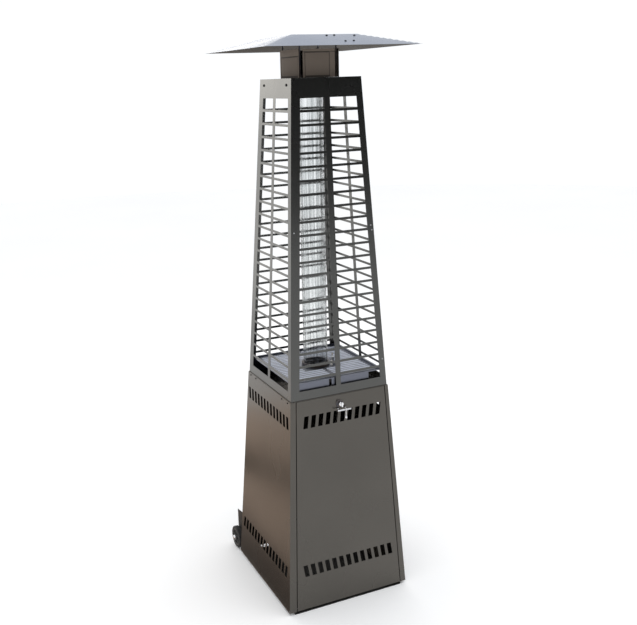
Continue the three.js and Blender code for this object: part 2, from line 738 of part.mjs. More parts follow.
// Wheels
for (const [word, hand] of [['left', -1], ['right', 1]]) {
  heater.add(named(`wheel_bracket_${word}`, wheelBracket(hand), MATERIALS.housing));
  const outward = new THREE.Group();
  outward.position.set(0, AXLE.y, AXLE.z);
  outward.rotation.y = hand * Math.PI / 2;
  outward.add(
    named(`wheel_${word}`, wheelHub(), MATERIALS.greyPlastic),
    named(`tyre_${word}`, tyre(), MATERIALS.rubber),
    named(`axle_cap_${word}`, axleCap(), MATERIALS.chrome),
  );
  heater.add(outward);
}
const axleRod = rodAlongX(AXLE.radius, -AXLE.halfLength, AXLE.halfLength, AXLE.y, AXLE.z);
heater.add(named('wheel_axle', axleRod, MATERIALS.zinc));

// Rear panel with the controls
const controlV = upTheFace(HOUSING, CONTROL_Z);
heater.add(faceGroup(
  HOUSING,
  REAR,
  named('rear_panel', rearPanel(), MATERIALS.housing),
  named('valve_bracket', valveBracket(), MATERIALS.zinc, [0, controlV, 0]),
  named('gas_valve', gasValve(), MATERIALS.zinc, [0, controlV, 0]),
  named('valve_stem', rod(4, -58, 12.2, 20), MATERIALS.zinc, [0, controlV, 0]),
  named('control_knob', controlKnob(), MATERIALS.blackPlastic, [0, controlV, 0]),
  named('gas_inlet', gasInlet(), MATERIALS.brass, [0, controlV, 0]),
  named('igniter_body', igniterBody(), MATERIALS.blackPlastic, [IGNITER_U, controlV, 0]),
  named('igniter_button', igniterButton(), MATERIALS.blackPlastic, [IGNITER_U, controlV, 0]),
));
heater.add(
  named('burner_pipe', burnerPipe(), MATERIALS.zinc),
  named('tilt_switch', tiltSwitch(), MATERIALS.blackPlastic, [120, 110, DECK_BOTTOM - 27.4]),
);

// Burner and glass
const plateTop = BURNER_TRAY.plateZ + 0.3;
heater.add(
  named('burner_tray', burnerTray(), MATERIALS.burnerTray),
  named('burner_cup', burnerCup(), MATERIALS.darkSteel),
  named('burner_mesh', burnerMesh(), MATERIALS.darkSteel),
  named('pilot_burner', pilotBurner(), MATERIALS.zinc, [63, -33, plateTop]),
  named('thermocouple', thermocouple(), MATERIALS.brass, [70, -16, plateTop]),
  named('ignition_electrode', ignitionElectrode(), MATERIALS.ceramic, [48, -53, plateTop]),
  named('glass_seat', glassSeat(), MATERIALS.darkSteel),
  named('glass_tube', glassTube(), MATERIALS.glass),
  named('tube_collar', tubeCollar(), MATERIALS.darkSteel),
);

// Cage
for (const [word, side] of [['front', FRONT], ['right', RIGHT], ['rear', REAR], ['left', LEFT]]) {
  heater.add(faceGroup(CAGE, side, named(`guard_${word}`, guardSheet(), MATERIALS.cage)));
}
const CORNERS = [['front_left', 0], ['front_right', RIGHT], ['rear_right', REAR], ['rear_left', LEFT]];
for (const [word, side] of CORNERS) {
  heater.add(upright(side, named(`post_${word}`, cornerPost(), MATERIALS.cage)));
}
heater.add(named('cage_top_plate', cageTopPlate(), MATERIALS.cage));

// Neck and reflector
for (const [word, side, halfLength, topZ] of [
  ['front', FRONT, NECK.slitHalf, NECK.frontTopZ], ['rear', REAR, NECK.slitHalf, NECK.topZ],
  ['left', LEFT, NECK.half, NECK.topZ], ['right', RIGHT, NECK.half, NECK.topZ],
]) {
  heater.add(upright(side, named(`neck_${word}`, neckPlate(halfLength, topZ), MATERIALS.neck)));
}
for (const [word, x, y] of [
  ['front_left', -1, -1], ['front_right', 1, -1], ['rear_right', 1, 1], ['rear_left', -1, 1],
]) {
  const place = [x * STUD.offset, y * STUD.offset, 0];
  heater.add(named(`reflector_stud_${word}`, reflectorStud(), MATERIALS.darkSteel, place));
}
heater.add(named('reflector', reflector(), MATERIALS.reflector));

export default heater;
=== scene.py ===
import json
import math

import bmesh
import bpy
from mathutils import Matrix, Vector


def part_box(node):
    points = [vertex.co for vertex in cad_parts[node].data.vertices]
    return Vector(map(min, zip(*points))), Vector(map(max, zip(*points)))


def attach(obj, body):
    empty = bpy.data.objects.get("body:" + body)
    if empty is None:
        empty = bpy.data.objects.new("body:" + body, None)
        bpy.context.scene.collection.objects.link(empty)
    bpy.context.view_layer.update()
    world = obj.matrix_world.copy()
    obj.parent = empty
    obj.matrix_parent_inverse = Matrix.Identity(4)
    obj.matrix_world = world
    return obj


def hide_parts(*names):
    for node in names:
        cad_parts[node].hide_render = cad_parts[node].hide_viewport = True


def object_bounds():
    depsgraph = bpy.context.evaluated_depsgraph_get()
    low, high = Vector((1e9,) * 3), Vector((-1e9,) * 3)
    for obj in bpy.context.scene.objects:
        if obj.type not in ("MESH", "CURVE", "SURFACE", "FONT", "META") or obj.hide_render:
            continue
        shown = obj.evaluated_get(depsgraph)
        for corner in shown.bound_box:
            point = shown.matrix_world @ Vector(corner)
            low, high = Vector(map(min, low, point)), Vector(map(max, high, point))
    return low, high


# The looks of a pyramid patio heater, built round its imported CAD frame.
# Metres, +Z up, door at -Y, wheels at +Y. Outlines that are turned or extruded are in millimetres.

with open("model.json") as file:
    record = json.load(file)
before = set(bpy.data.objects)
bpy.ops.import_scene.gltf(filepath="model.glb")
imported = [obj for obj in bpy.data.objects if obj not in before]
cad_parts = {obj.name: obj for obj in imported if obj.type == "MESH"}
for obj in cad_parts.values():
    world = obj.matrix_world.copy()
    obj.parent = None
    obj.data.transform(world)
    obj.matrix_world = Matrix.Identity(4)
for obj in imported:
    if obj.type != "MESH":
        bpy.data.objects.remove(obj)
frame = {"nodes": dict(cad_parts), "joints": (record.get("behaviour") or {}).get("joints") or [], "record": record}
cad_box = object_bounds()
MM = 0.001

# ---------------------------------------------------------------- camera

# The eye stands in front of the door, to its left, just below the reflector.
EYE = Vector((-1.4753, -3.0431, 2.1115))
YAW = -0.4054
PITCH = 0.2616
ROLL = -0.0336
LENS = 48.0
SENSOR_WIDTH = 36.0
SHIFT = (0.0656, -0.0069)
CLIP = (0.05, 100)


def add_camera():
    level = Vector((-math.sin(YAW), math.cos(YAW), 0))
    right = Vector((math.cos(YAW), math.sin(YAW), 0))
    up = Vector((0, 0, 1))
    ahead = level * math.cos(PITCH) - up * math.sin(PITCH)
    above = up * math.cos(PITCH) + level * math.sin(PITCH)
    x_axis = right * math.cos(ROLL) + above * math.sin(ROLL)
    y_axis = above * math.cos(ROLL) - right * math.sin(ROLL)
    data = bpy.data.cameras.new("camera")
    data.lens = LENS
    data.sensor_width = SENSOR_WIDTH
    data.shift_x, data.shift_y = SHIFT
    data.clip_start, data.clip_end = CLIP
    camera = bpy.data.objects.new("camera", data)
    turn = Matrix((x_axis, y_axis, -ahead)).transposed().to_4x4()
    camera.matrix_world = Matrix.Translation(EYE) @ turn
    bpy.context.scene.collection.objects.link(camera)
    bpy.context.scene.camera = camera


add_camera()

# ---------------------------------------------------------------- the two towers

# The widths across at the bottom and the top of each tower, and their heights.
HOUSING = {"bottom": 0.550, "top": 0.437, "z0": 0.0, "z1": 0.900}
CAGE = {"bottom": 0.430, "top": 0.290, "z0": 0.900, "z1": 2.118}
FRONT, RIGHT, REAR, LEFT = 0, math.pi / 2, math.pi, -math.pi / 2
HANDS = (("left", -1), ("right", 1))
UPRIGHT = Matrix.Identity(4)


def lean(tower):
    """The angle by which a tower's faces lean inwards."""
    return math.atan((tower["bottom"] - tower["top"]) / 2 / (tower["z1"] - tower["z0"]))


def half_width(tower, z):
    return tower["bottom"] / 2 - math.tan(lean(tower)) * (z - tower["z0"])


def on_face(tower, side, u, z, out=0.0):
    """The frame of a point on a tower's face.

    Its x axis runs to the right as seen from outside, y up the slope and z outwards.
    """
    up_the_slope = (z - tower["z0"]) / math.cos(lean(tower))
    turn = Matrix.Rotation(side, 4, "Z")
    tilt = Matrix.Rotation(math.pi / 2 - lean(tower), 4, "X")
    foot = Matrix.Translation((0, -tower["bottom"] / 2, tower["z0"]))
    return turn @ foot @ tilt @ Matrix.Translation((u, up_the_slope, out))


# ---------------------------------------------------------------- material nodes


class Nodes:
    """A small writer for one material's node tree."""

    def __init__(self, name):
        self.material = bpy.data.materials.new(name)
        self.material.use_nodes = True
        self.tree = self.material.node_tree
        self.tree.nodes.clear()
        self.shader = self.add("ShaderNodeBsdfPrincipled")
        output = self.add("ShaderNodeOutputMaterial")
        self.link(self.shader.outputs["BSDF"], output.inputs["Surface"])
        self.place = self.add("ShaderNodeTexCoord").outputs["Object"]

    def add(self, kind, **values):
        node = self.tree.nodes.new(kind)
        for key, value in values.items():
            setattr(node, key, value)
        return node

    def link(self, a, b):
        self.tree.links.new(a, b)

    def fixed(self, **values):
        for key, value in values.items():
            self.shader.inputs[key.replace("_", " ")].default_value = value

    def noise(self, scale, detail, roughness=0.5, stretch=None):
        node = self.add("ShaderNodeTexNoise")
        node.inputs["Scale"].default_value = scale
        node.inputs["Detail"].default_value = detail
        node.inputs["Roughness"].default_value = roughness
        source = self.place
        if stretch:
            mapping = self.add("ShaderNodeMapping")
            mapping.inputs["Scale"].default_value = stretch
            self.link(self.place, mapping.inputs["Vector"])
            source = mapping.outputs["Vector"]
        self.link(source, node.inputs["Vector"])
        return node.outputs["Fac"]

    def cells(self, scale):
        node = self.add("ShaderNodeTexVoronoi")
        node.inputs["Scale"].default_value = scale
        self.link(self.place, node.inputs["Vector"])
        return node.outputs["Distance"]

    def remap(self, value, low, high, to_low, to_high):
        node = self.add("ShaderNodeMapRange")
        node.inputs["From Min"].default_value = low
        node.inputs["From Max"].default_value = high
        node.inputs["To Min"].default_value = to_low
        node.inputs["To Max"].default_value = to_high
        self.link(value, node.inputs["Value"])
        return node.outputs["Result"]

    def mix(self, share, a, b):
        node = self.add("ShaderNodeMix", data_type="RGBA")
        sockets = (node.inputs["Factor"], node.inputs[6], node.inputs[7])
        for socket, value in zip(sockets, (share, a, b)):
            if isinstance(value, bpy.types.NodeSocket):
                self.link(value, socket)
            elif isinstance(value, tuple):
                socket.default_value = (*value, 1)
            else:
                socket.default_value = value
        return node.outputs[2]

    def maths(self, operation, a, b):
        node = self.add("ShaderNodeMath", operation=operation)
        for socket, value in zip(node.inputs, (a, b)):
            if isinstance(value, bpy.types.NodeSocket):
                self.link(value, socket)
            else:
                socket.default_value = value
        return node.outputs[0]

    def edges(self, radius):
        """1 along sharp edges and 0 on flat ground."""
        bevel = self.add("ShaderNodeBevel", samples=4)
        bevel.inputs["Radius"].default_value = radius
        geometry = self.add("ShaderNodeNewGeometry")
        dot = self.add("ShaderNodeVectorMath", operation="DOT_PRODUCT")
        self.link(bevel.outputs["Normal"], dot.inputs[0])
        self.link(geometry.outputs["Normal"], dot.inputs[1])
        return self.remap(dot.outputs["Value"], 0.98, 0.82, 0.0, 1.0)

    def colour(self, value):
        self.link(value, self.shader.inputs["Base Color"])

    def roughness(self, value):
        self.link(value, self.shader.inputs["Roughness"])

    def bump(self, height, distance, strength):
        node = self.add("ShaderNodeBump")
        node.inputs["Distance"].default_value = distance
        node.inputs["Strength"].default_value = strength
        self.link(height, node.inputs["Height"])
        self.link(node.outputs["Normal"], self.shader.inputs["Normal"])


def scaled(colour, factor):
    return tuple(min(1.0, channel * factor) for channel in colour)


def sheet_metal(name, colour, roughness, metallic=1.0, smudge=0.12, shine=0.5):
    """Satin coated sheet: faint cloudy tone, fine grain, wiped smudges in the gloss, lighter cut edges."""
    n = Nodes(name)
    n.fixed(Metallic=metallic, IOR=1.5, Specular_IOR_Level=shine)
    clouds = n.noise(2.2, 4)
    speckle = n.noise(900, 2)
    base = n.mix(n.remap(clouds, 0.3, 0.7, 0, 1), scaled(colour, 0.93), scaled(colour, 1.07))
    base = n.mix(n.remap(speckle, 0.45, 0.75, 0, 0.25), base, scaled(colour, 1.35))
    worn = n.maths("MULTIPLY", n.edges(0.0012), 0.6)
    n.colour(n.mix(worn, base, scaled(colour, 1.3)))
    wiped = n.noise(3, 3, stretch=(1, 1, 0.6))
    n.roughness(n.remap(wiped, 0.3, 0.7, roughness - smudge / 2, roughness + smudge / 2))
    n.bump(n.noise(650, 3), 0.00004, 0.6)
    return n.material


def brushed_metal(name, colour, roughness, stretch):
    """Bright sheet with a one-way brush grain and a cloudy gloss."""
    n = Nodes(name)
    n.fixed(Metallic=1.0)
    grain = n.noise(60, 4, 0.7, stretch)
    clouds = n.noise(3, 4)
    n.colour(n.mix(n.remap(grain, 0.3, 0.7, 0, 1), scaled(colour, 0.92), scaled(colour, 1.06)))
    scratched = n.remap(grain, 0.3, 0.7, roughness - 0.05, roughness + 0.07)
    dulled = n.remap(clouds, 0.4, 0.7, -0.03, 0.05)
    n.roughness(n.maths("ADD", scratched, dulled))
    n.bump(grain, 0.00003, 0.5)
    return n.material


def plated(name, colour, roughness=0.09):
    """Chrome or zinc plate: nearly a mirror, with fine dulling and pin-prick pits."""
    n = Nodes(name)
    n.fixed(Metallic=1.0)
    dull = n.noise(45, 4)
    pits = n.cells(420)
    n.colour(n.mix(n.remap(dull, 0.35, 0.7, 0, 1), colour, scaled(colour, 0.86)))
    n.roughness(n.remap(dull, 0.35, 0.75, roughness, roughness + 0.12))
    n.bump(n.remap(pits, 0.0, 0.12, 0, 1), 0.00002, 0.4)
    return n.material


def moulded(name, colour, roughness, grain=700, dust=0.15):
    """Plastic or rubber with a moulded grain and a little pale dust."""
    n = Nodes(name)
    n.fixed(Metallic=0.0, IOR=1.48)
    dusty = n.noise(28, 5)
    n.colour(n.mix(n.remap(dusty, 0.45, 0.75, 0, dust), colour, scaled(colour, 3.2)))
    n.roughness(n.remap(n.noise(60, 3), 0.3, 0.7, roughness - 0.06, roughness + 0.08))
    n.bump(n.cells(grain), 0.00006, 0.6)
    return n.material


def heated_steel(name, colour):
    """Dark steel that has been hot: brown and blue temper tints, scaly roughness."""
    n = Nodes(name)
    n.fixed(Metallic=0.9)
    tint = n.noise(22, 4)
    scale = n.noise(240, 5, 0.7)
    base = n.mix(n.remap(tint, 0.38, 0.62, 0, 1), (0.20, 0.13, 0.08), (0.13, 0.14, 0.19))
    n.colour(n.mix(0.6, base, colour))
    n.roughness(n.remap(scale, 0.3, 0.7, 0.34, 0.58))
    n.bump(scale, 0.00012, 0.6)
    return n.material


def clear_glass(name):
    """Borosilicate tube: clear, with grey streaks along it painted in as streaky reflections, and a faint film in
    patches.
    """
    n = Nodes(name)
    n.fixed(Metallic=0.0, IOR=1.45, Transmission_Weight=1.0)
    painted_streaks_and_ripple = n.noise(150, 3, stretch=(1, 1, 0.012))
    # The grey streaks in the tint are painted reflections; the same pattern also drives the bump.
    n.colour(n.mix(n.remap(painted_streaks_and_ripple, 0.44, 0.60, 0, 1), (0.96, 0.97, 0.97), (0.60, 0.62, 0.62)))
    film = n.noise(9, 4, stretch=(1, 1, 0.3))
    n.roughness(n.remap(film, 0.35, 0.75, 0.01, 0.07))
    n.bump(painted_streaks_and_ripple, 0.0011, 0.9)
    return n.material


def ceramic(name, colour):
    """Glazed insulator with soot in patches."""
    n = Nodes(name)
    n.fixed(Metallic=0.0, IOR=1.55)
    soot = n.noise(90, 4)
    n.colour(n.mix(n.remap(soot, 0.5, 0.75, 0, 0.5), colour, (0.35, 0.30, 0.26)))
    n.roughness(n.remap(soot, 0.3, 0.7, 0.18, 0.4))
    n.bump(n.noise(300, 3), 0.00005, 0.5)
    return n.material


def floor_material():
    """Pale matt paint, very slightly cloudy."""
    n = Nodes("floor")
    n.fixed(Metallic=0.0)
    clouds = n.remap(n.noise(0.6, 3), 0.3, 0.7, 0, 1)
    n.colour(n.mix(clouds, (0.97, 0.965, 0.955), (0.99, 0.985, 0.975)))
    n.roughness(n.remap(n.noise(8, 3), 0.3, 0.7, 0.75, 0.85))
    return n.material


LOOKS = {
    "housing_sheet": sheet_metal("housing_sheet", (0.105, 0.098, 0.088), 0.27, smudge=0.05),
    "cage_sheet": sheet_metal("cage_sheet", (0.104, 0.104, 0.100), 0.27, smudge=0.06),
    "base_tray_sheet": sheet_metal("base_tray_sheet", (0.022, 0.020, 0.018), 0.5, metallic=0.3),
    "burner_tray_sheet": sheet_metal("burner_tray_sheet", (0.150, 0.158, 0.188), 0.36),
    "neck_sheet": sheet_metal("neck_sheet", (0.185, 0.152, 0.125), 0.75, metallic=0.0, shine=0.15),
    "reflector_sheet": brushed_metal("reflector_sheet", (0.20, 0.235, 0.31), 0.26, (1, 40, 40)),
    "dark_steel": heated_steel("dark_steel", (0.10, 0.095, 0.09)),
    "chrome_trim": plated("chrome_trim", (0.86, 0.86, 0.87)),
    "plated_steel": plated("plated_steel", (0.55, 0.56, 0.57), 0.28),
    "brass_fittings": plated("brass_fittings", (0.62, 0.45, 0.20), 0.22),
    "control_plastic": moulded("control_plastic", (0.018, 0.018, 0.019), 0.42),
    "wheel_plastic": moulded("wheel_plastic", (0.055, 0.054, 0.052), 0.38),
    "wheel_rubber": moulded("wheel_rubber", (0.022, 0.021, 0.020), 0.72, grain=500, dust=0.3),
    "electrode_ceramic": ceramic("electrode_ceramic", (0.78, 0.76, 0.70)),
    "flame_glass": clear_glass("flame_glass"),
}
BLACK_SCREW = plated("black_screw", (0.02, 0.02, 0.02), 0.35)
# The louvre hoods are the tray's sheet painted far lighter: painted light where they catch the top light.
LOUVRE_PAINTED_LIGHT = sheet_metal("louvre_painted_light", (0.55, 0.58, 0.66), 0.42, metallic=0.25)
# Near-black sheet painted as shade: the reflector's underside and the grooves of the neck plates.
PAINTED_SHADE_SHEET = sheet_metal("painted_shade_sheet", (0.060, 0.050, 0.040), 0.75, metallic=0.2)


def dress_cad_nodes():
    """Gives every CAD node the look of its material slot."""
    for row in frame["record"]["subparts"]:
        mesh = frame["nodes"][row["node"]].data
        mesh.materials.clear()
        mesh.materials.append(LOOKS[row["material_slot"]])


dress_cad_nodes()

# ---------------------------------------------------------------- shapes for new pieces


def rounded(points, radius, steps=3):
    """An outline with each corner replaced by a short curve. The ends of an open outline stay as they are."""
    result = [points[0]]
    for before, corner, after in zip(points, points[1:], points[2:]):
        a, p, b = Vector(before), Vector(corner), Vector(after)
        reach = min(radius, 0.45 * (a - p).length, 0.45 * (b - p).length)
        start = p + (a - p).normalized() * reach
        end = p + (b - p).normalized() * reach
        for i in range(steps + 1):
            t = i / steps
            point = start * (1 - t) ** 2 + p * 2 * t * (1 - t) + end * t ** 2
            result.append(tuple(point))
    result.append(points[-1])
    return result


def rounded_loop(points, radius):
    """The same for a closed outline, whose last point joins its first."""
    return rounded([points[-1], *points, points[0]], radius)[1:-1]


def lathe(bm, outline, place, segments, closed=False, ripple=None):
    """Turns (radius, height) points about place's z axis.

    A closed outline makes a ring round the axis. ripple(angle) scales the radius of every point.
    """
    rings = []
    for radius, height in outline:
        if radius < 1e-6:
            ring = [bm.verts.new(place @ Vector((0, 0, height * MM)))] * segments
        else:
            ring = []
            for i in range(segments):
                angle = 2 * math.pi * i / segments
                r = radius * MM * (ripple(angle) if ripple else 1)
                point = Vector((r * math.cos(angle), r * math.sin(angle), height * MM))
                ring.append(bm.verts.new(place @ point))
        rings.append(ring)
    pairs = list(zip(rings, rings[1:]))
    if closed:
        pairs.append((rings[-1], rings[0]))
    for low, high in pairs:
        for i in range(segments):
            j = (i + 1) % segments
            corners = []
            for vert in (low[i], low[j], high[j], high[i]):
                if vert not in corners:
                    corners.append(vert)
            if len(corners) > 2:
                bm.faces.new(corners)


def prism(bm, outline, low, high, place, bevel):
    """A prism over an outline in place's xy plane, from low to high along z, with softened edges."""
    part = bmesh.new()
    face = part.faces.new([part.verts.new((x * MM, y * MM, low * MM)) for x, y in outline])
    top = bmesh.ops.extrude_face_region(part, geom=[face])["geom"]
    risen = [item for item in top if isinstance(item, bmesh.types.BMVert)]
    bmesh.ops.translate(part, verts=risen, vec=(0, 0, (high - low) * MM))
    bmesh.ops.bevel(part, geom=part.edges[:], offset=bevel * MM, segments=2, profile=0.6, affect="EDGES")
    bmesh.ops.recalc_face_normals(part, faces=part.faces[:])
    part.transform(place)
    merge(bm, part)


def merge(bm, part):
    """Moves a part's mesh into bm."""
    mesh = bpy.data.meshes.new("part")
    part.to_mesh(mesh)
    part.free()
    bm.from_mesh(mesh)
    bpy.data.meshes.remove(mesh)


def rectangle(left, right, low, high):
    return [(left, low), (right, low), (right, high), (left, high)]


def block(bm, size, place, bevel):
    """A softened block with its middle at place."""
    x, y, z = (s / 2 for s in size)
    prism(bm, rectangle(-x, x, -y, y), -z, z, place, bevel)


def hexagon(across):
    """The outline of a nut, from its width across flats."""
    r = across / math.sqrt(3)
    return [(r * math.cos(math.pi / 3 * i), r * math.sin(math.pi / 3 * i)) for i in range(6)]


def sweep(bm, points, radius, sides):
    """A round wire or pipe through points in metres, with closed ends."""
    curve = bpy.data.curves.new("route", "CURVE")
    curve.dimensions = "3D"
    curve.bevel_depth = radius
    curve.bevel_resolution = sides // 4
    curve.resolution_u = 12
    curve.use_fill_caps = True
    spline = curve.splines.new("BEZIER")
    spline.bezier_points.add(len(points) - 1)
    for knot, point in zip(spline.bezier_points, points):
        knot.co = point
        knot.handle_left_type = knot.handle_right_type = "AUTO"
    helper = bpy.data.objects.new("route", curve)
    bpy.context.scene.collection.objects.link(helper)
    mesh = bpy.data.meshes.new_from_object(helper)
    bm.from_mesh(mesh)
    bpy.data.objects.remove(helper)
    bpy.data.curves.remove(curve)
    bpy.data.meshes.remove(mesh)


def piece(name, bm, slot, body, *replaced, material=None, crease=35, second=None):
    """Makes the finished mesh into a piece of the heater."""
    bmesh.ops.remove_doubles(bm, verts=bm.verts[:], dist=1e-7)
    bmesh.ops.recalc_face_normals(bm, faces=bm.faces[:])
    mesh = bpy.data.meshes.new(name)
    bm.to_mesh(mesh)
    bm.free()
    mesh.shade_smooth()
    mesh.set_sharp_from_angle(angle=math.radians(crease))
    mesh.materials.append(material or LOOKS[slot])
    if second:
        mesh.materials.append(second)
    made = bpy.data.objects.new(name, mesh)
    bpy.context.scene.collection.objects.link(made)
    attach(made, body)
    if replaced:
        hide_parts(*replaced)


def joint(name):
    return next(row for row in frame["joints"] if row["name"] == name)


def middle(node):
    low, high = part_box(node)
    return (low + high) / 2


# ---------------------------------------------------------------- screws

# The radii of the heads, in millimetres.
SMALL_SCREW = 2.8
PANEL_SCREW = 3.2
REFLECTOR_SCREW = 4.2
LARGE_SCREW = 5.0

PANEL_SCREW_Z = 0.8895
CAGE_TOP_SCREW_Z = 2.094
REAR_SCREW_INSET = 0.045


def screw(name, place, radius, material=None):
    """A pan-head screw with a cross in a round recess. Its head stands on place's xy plane, slightly sunk."""
    bm = bmesh.new()
    sunk = 0.2
    rim = [(radius, -sunk), (radius, 0.35 * radius)]
    crown = [(0.8 * radius, 0.58 * radius), (0.42 * radius, 0.66 * radius)]
    recess = [(0.36 * radius, 0.32 * radius), (0, 0.32 * radius)]
    lathe(bm, [(0, -sunk), *rounded(rim + crown, 0.3 * radius), *recess], place, 28)
    lift = Matrix.Translation((0, 0, 0.45 * radius * MM))
    for turn in (math.pi / 4, 3 * math.pi / 4):
        rib = place @ Matrix.Rotation(turn, 4, "Z") @ lift
        block(bm, (0.22 * radius, 0.70 * radius, 0.22 * radius), rib, 0.05)
    piece(name, bm, "plated_steel", "frame", material=material)


def add_screws():
    for word, side in (("left", LEFT), ("right", RIGHT)):
        for i, u in enumerate((-0.190, -0.135, 0.135, 0.190)):
            place = on_face(HOUSING, side, u, PANEL_SCREW_Z)
            screw(f"panel_screw_{word}_{i + 1}", place, PANEL_SCREW, BLACK_SCREW)
        for i, u in enumerate((-0.105, 0.105)):
            place = on_face(CAGE, side, u, CAGE_TOP_SCREW_Z)
            screw(f"guard_screw_{word}_{i + 1}", place, LARGE_SCREW, BLACK_SCREW)
    for word, side in (("front", FRONT), ("rear", REAR)):
        for i, (u, z) in enumerate(((-0.165, 1.556), (0.165, 1.556), (0.169, 1.537), (0.198, 1.011))):
            screw(f"guard_screw_{word}_{i + 1}", on_face(CAGE, side, u, z), SMALL_SCREW)
    for i, (u, z) in enumerate((u, z) for u in (-1, 1) for z in (0.10, 0.45, 0.80)):
        edge = half_width(HOUSING, z) - REAR_SCREW_INSET
        screw(f"rear_screw_{i + 1}", on_face(HOUSING, REAR, u * edge, z), PANEL_SCREW)


# ---------------------------------------------------------------- reflector

REFLECTOR_FLAT = 0.134  # half the width of its flat middle
REFLECTOR_FOLD = 0.004  # half the width of each soft fold


def reflector_fall():
    """The drop of the reflector's slopes over their run."""
    low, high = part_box("reflector")
    return (high.z - low.z) / (high.x - REFLECTOR_FLAT)


def slope_of_reflector(x, y):
    """The frame of a point on the front slope of the reflector, z outwards."""
    fall = reflector_fall()
    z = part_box("reflector")[1].z - (abs(y) - REFLECTOR_FLAT) * fall
    return Matrix.Translation((x, y, z)) @ Matrix.Rotation(math.atan(fall), 4, "X")


def add_reflector_screws():
    places = ((-0.004, -0.158), (0.029, -0.154), (0.023, -0.252), (0.058, -0.249), (0.108, -0.162))
    for i, (x, y) in enumerate(places):
        screw(f"reflector_screw_{i + 1}", slope_of_reflector(x, y), REFLECTOR_SCREW, BLACK_SCREW)


def add_reflector():
    """The folded sheet: a flat middle, four slopes with soft folds, and an underside painted near-black as painted
    shade.
    """
    low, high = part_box("reflector")
    rim, flat, fold, thickness = high.x, REFLECTOR_FLAT, REFLECTOR_FOLD, 1.6 * MM
    fall = reflector_fall()

    def height(reach):
        if reach < flat - fold:
            return high.z
        if reach < flat + fold:
            return high.z - fall * (reach - flat + fold) ** 2 / (4 * fold)
        return high.z - fall * (reach - flat)

    # How far from the middle the sheet has a line of points, from the flat out to the rim.
    flats = [flat * i / 8 for i in range(8)]
    bend = [flat + fold * (i / 2 - 1) for i in range(5)]
    slope = [flat + fold + (rim - flat - fold) * i / 10 for i in range(1, 11)]
    half = flats + bend + slope
    lines = sorted({round(v, 7) for v in half} | {round(-v, 7) for v in half})
    bm = bmesh.new()
    for index, drop in enumerate((0, thickness)):
        # Both layers end at the rim's lowest level, so they join there.
        layer = []
        for y in lines:
            heights = [max(low.z, height(max(abs(x), abs(y))) - drop) for x in lines]
            layer.append([bm.verts.new((x, y, z)) for x, z in zip(lines, heights)])
        for row, next_row in zip(layer, layer[1:]):
            for i in range(len(lines) - 1):
                face = bm.faces.new((row[i], row[i + 1], next_row[i + 1], next_row[i]))
                face.material_index = index
    # The lower layer, the underside, takes the second material: painted shade.
    piece("reflector_folded", bm, "reflector_sheet", "frame", "reflector", crease=12, second=PAINTED_SHADE_SHEET)


# ---------------------------------------------------------------- door furniture

LATCH_U = -0.005
LATCH_Z = 0.861
PULL_Z = 0.838
DOOR_SHIFT = 0.004
PULL_STANDOFF = 22 * MM


def add_latch():
    place = on_face(HOUSING, FRONT, LATCH_U, LATCH_Z)
    bm = bmesh.new()
    ring = [(8.7, 0.4), (16, 0.4), (16, 2.4), (14.5, 4.2), (10, 4.4), (8.7, 3.4)]
    lathe(bm, rounded_loop(ring, 0.8), place, 64, closed=True)
    piece("latch_bezel_turned", bm, "dark_steel", "door", "latch_bezel")
    bm = bmesh.new()
    barrel = [(0, -24), (5, -24), (5, -6), (8, -6), (8, 9), (10.5, 11), (10.5, 16), (8, 19), (0, 20)]
    lathe(bm, rounded(barrel, 0.9), place, 64)
    block(bm, (6, 20, 9), place @ Matrix.Translation((0, 0, 19.5 * MM)), 1.4)
    piece("latch_barrel", bm, "chrome_trim", "lock", "latch_knob")


def add_pull():
    place = on_face(HOUSING, FRONT, DOOR_SHIFT, PULL_Z, PULL_STANDOFF)
    along = place @ Matrix.Rotation(math.pi / 2, 4, "Y")
    bm = bmesh.new()
    bar = [(0, -30), (2.6, -30), (3.2, -29), (3.2, 29), (2.6, 30), (0, 30)]
    lathe(bm, rounded(bar, 0.6), along, 40)
    for x in (-16, 16):
        post = [(0, -21.6), (4.6, -21.6), (4.6, -20.4), (2.4, -17), (2.4, 0), (0, 0)]
        lathe(bm, rounded(post, 0.5), place @ Matrix.Translation((x * MM, 0, 0)), 32)
    piece("pull_bar_turned", bm, "chrome_trim", "door", "pull_bar")


def add_pendant():
    axis = Vector(joint("pendant_swing")["pos_m"])
    hang = Matrix.Translation(axis)
    bm = bmesh.new()
    eye = [(4.9 + 1.15 * math.cos(a), 1.7 * math.sin(a)) for a in (2 * math.pi * i / 14 for i in range(14))]
    lathe(bm, eye, hang @ Matrix.Rotation(math.pi / 2, 4, "Y"), 40, closed=True)
    shank = [(0, -5), (1.9, -5), (1.5, -8), (1.4, -24), (2.4, -27)]
    bulb = [(4.4, -29.2), (5.5, -33), (4.4, -36.8), (0, -38.5)]
    lathe(bm, rounded(shank + bulb, 1.6, 5), hang, 40)
    piece("pull_pendant", bm, "chrome_trim", "pendant", "pull_drop")


def add_hinge_pins():
    for word, hand in HANDS:
        node = f"hinge_pin_{word}"
        low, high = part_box(node)
        centre = middle(node)
        start = high.x if hand < 0 else low.x
        length = (high.x - low.x) / MM
        place = Matrix.Translation((start, centre.y, centre.z)) @ Matrix.Rotation(hand * math.pi / 2, 4, "Y")
        pin = [(0, 0), (2, 0), (3, 1), (3, length - 2), (5, length - 2), (5, length), (0, length)]
        bm = bmesh.new()
        lathe(bm, rounded(pin, 0.5), place, 32)
        piece(f"{node}_turned", bm, "plated_steel", "frame", node)


# ---------------------------------------------------------------- wheels


